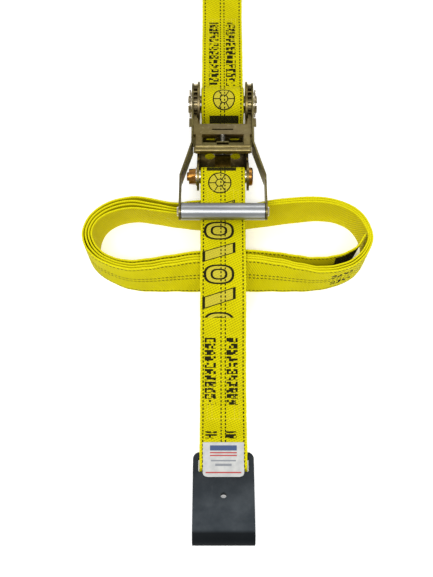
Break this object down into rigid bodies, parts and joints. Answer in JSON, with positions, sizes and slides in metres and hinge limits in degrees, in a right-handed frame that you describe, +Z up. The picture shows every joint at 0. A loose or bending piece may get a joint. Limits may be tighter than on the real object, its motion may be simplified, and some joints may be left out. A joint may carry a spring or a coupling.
{
  "type": "ratchet strap",
  "caption": "Webbing tie-down: ratchet with wide flared handle, short and main straps ending in flat hooks, and the spare webbing wound into a two-lobed hank on its edge.",
  "frame": {"origin": "on the table under the middle of the whole bounding box, 5 mm towards +X from the straps' centre line", "axes": "+Y along the straps from the short strap's hook towards the main strap's hook, +X across them, +Z up from the table"},
  "size_m": [0.3243, 0.8034, 0.077],
  "materials": {
    "webbing": "woven polyester webbing, bright yellow with black tracer threads",
    "label_cloth": "white woven label with plain coloured bands",
    "zinc_frame": "pressed steel, yellow zinc plated, dull",
    "zinc_handle": "pressed steel, yellow zinc plated, olive tint",
    "zinc_pawl": "pressed steel, yellow zinc plated, handled",
    "zinc_sprocket": "toothed steel plate, yellow zinc plated",
    "zinc_small": "pale zinc plated hardware",
    "zinc_bolt": "gold-brown zinc plated bolt and nut",
    "mandrel_steel": "turned steel, dull zinc",
    "spring_steel": "bright drawn wire",
    "grip_aluminium": "smooth extruded tube, satin",
    "bush_plastic": "moulded nylon",
    "hook_black": "dark coated steel, slightly glossy"
  },
  "bodies": {
    "base": {"base_frame": "zinc_frame", "anchor_bolt": "zinc_bolt", "anchor_nut": "zinc_bolt", "anchor_washer": "zinc_small", "anchor_sleeve": "zinc_small", "main_strap": "webbing", "tail_strap": "webbing", "tail_twist": "webbing", "webbing_hank": "webbing", "short_strap": "webbing", "hook_label": "label_cloth", "frame_pawl_spring": "spring_steel"},
    "mandrel": {"mandrel_half_upper": "mandrel_steel", "mandrel_half_lower": "mandrel_steel", "sprocket_right": "zinc_sprocket", "sprocket_left": "zinc_sprocket", "mandrel_washer_right": "zinc_small", "mandrel_washer_left": "zinc_small", "split_pin_right": "zinc_small", "split_pin_left": "zinc_small", "wound_webbing": "webbing"},
    "frame_pawl": {"frame_pawl": "zinc_pawl"},
    "handle": {"handle_frame": "zinc_handle", "grip_rod": "zinc_small", "handle_pawl_spring": "spring_steel"},
    "handle_pawl": {"handle_pawl": "zinc_pawl"},
    "grip": {"grip_tube": "grip_aluminium", "grip_bushes": "bush_plastic"},
    "lower_hook": {"lower_hook": "hook_black"},
    "upper_hook": {"upper_hook": "hook_black"}
  },
  "joints": [
    {"name": "handle_swing", "type": "hinge", "parent": "base", "child": "handle", "pos_m": [-0.005, 0.119, 0.03], "axis": [-1, 0, 0], "range_deg": [0, 165]},
    {"name": "mandrel_spin", "type": "hinge", "parent": "base", "child": "mandrel", "pos_m": [-0.005, 0.119, 0.03], "axis": [1, 0, 0], "continuous": true},
    {"name": "handle_pawl_slide", "type": "slide", "parent": "handle", "child": "handle_pawl", "axis": [0, -0.9781, 0.2079], "range_m": [0, 0.0055], "stiffness_N_per_m": 900, "springref_m": -0.005, "deforming": ["handle_pawl_spring"]},
    {"name": "frame_pawl_slide", "type": "slide", "parent": "base", "child": "frame_pawl", "axis": [0, -0.9781, 0.2079], "range_m": [0, 0.0055], "stiffness_N_per_m": 1200, "springref_m": -0.005, "deforming": ["frame_pawl_spring"]},
    {"name": "grip_spin", "type": "hinge", "parent": "handle", "child": "grip", "pos_m": [-0.005, -0.04785, 0.06751], "axis": [1, 0, 0], "continuous": true},
    {"name": "lower_hook_swing", "type": "hinge", "parent": "base", "child": "lower_hook", "pos_m": [-0.005, -0.307, 0.0072], "axis": [-1, 0, 0], "range_deg": [0, 80]},
    {"name": "upper_hook_swing", "type": "hinge", "parent": "base", "child": "upper_hook", "pos_m": [-0.005, 0.307, 0.0072], "axis": [1, 0, 0], "range_deg": [0, 80]}
  ]
}
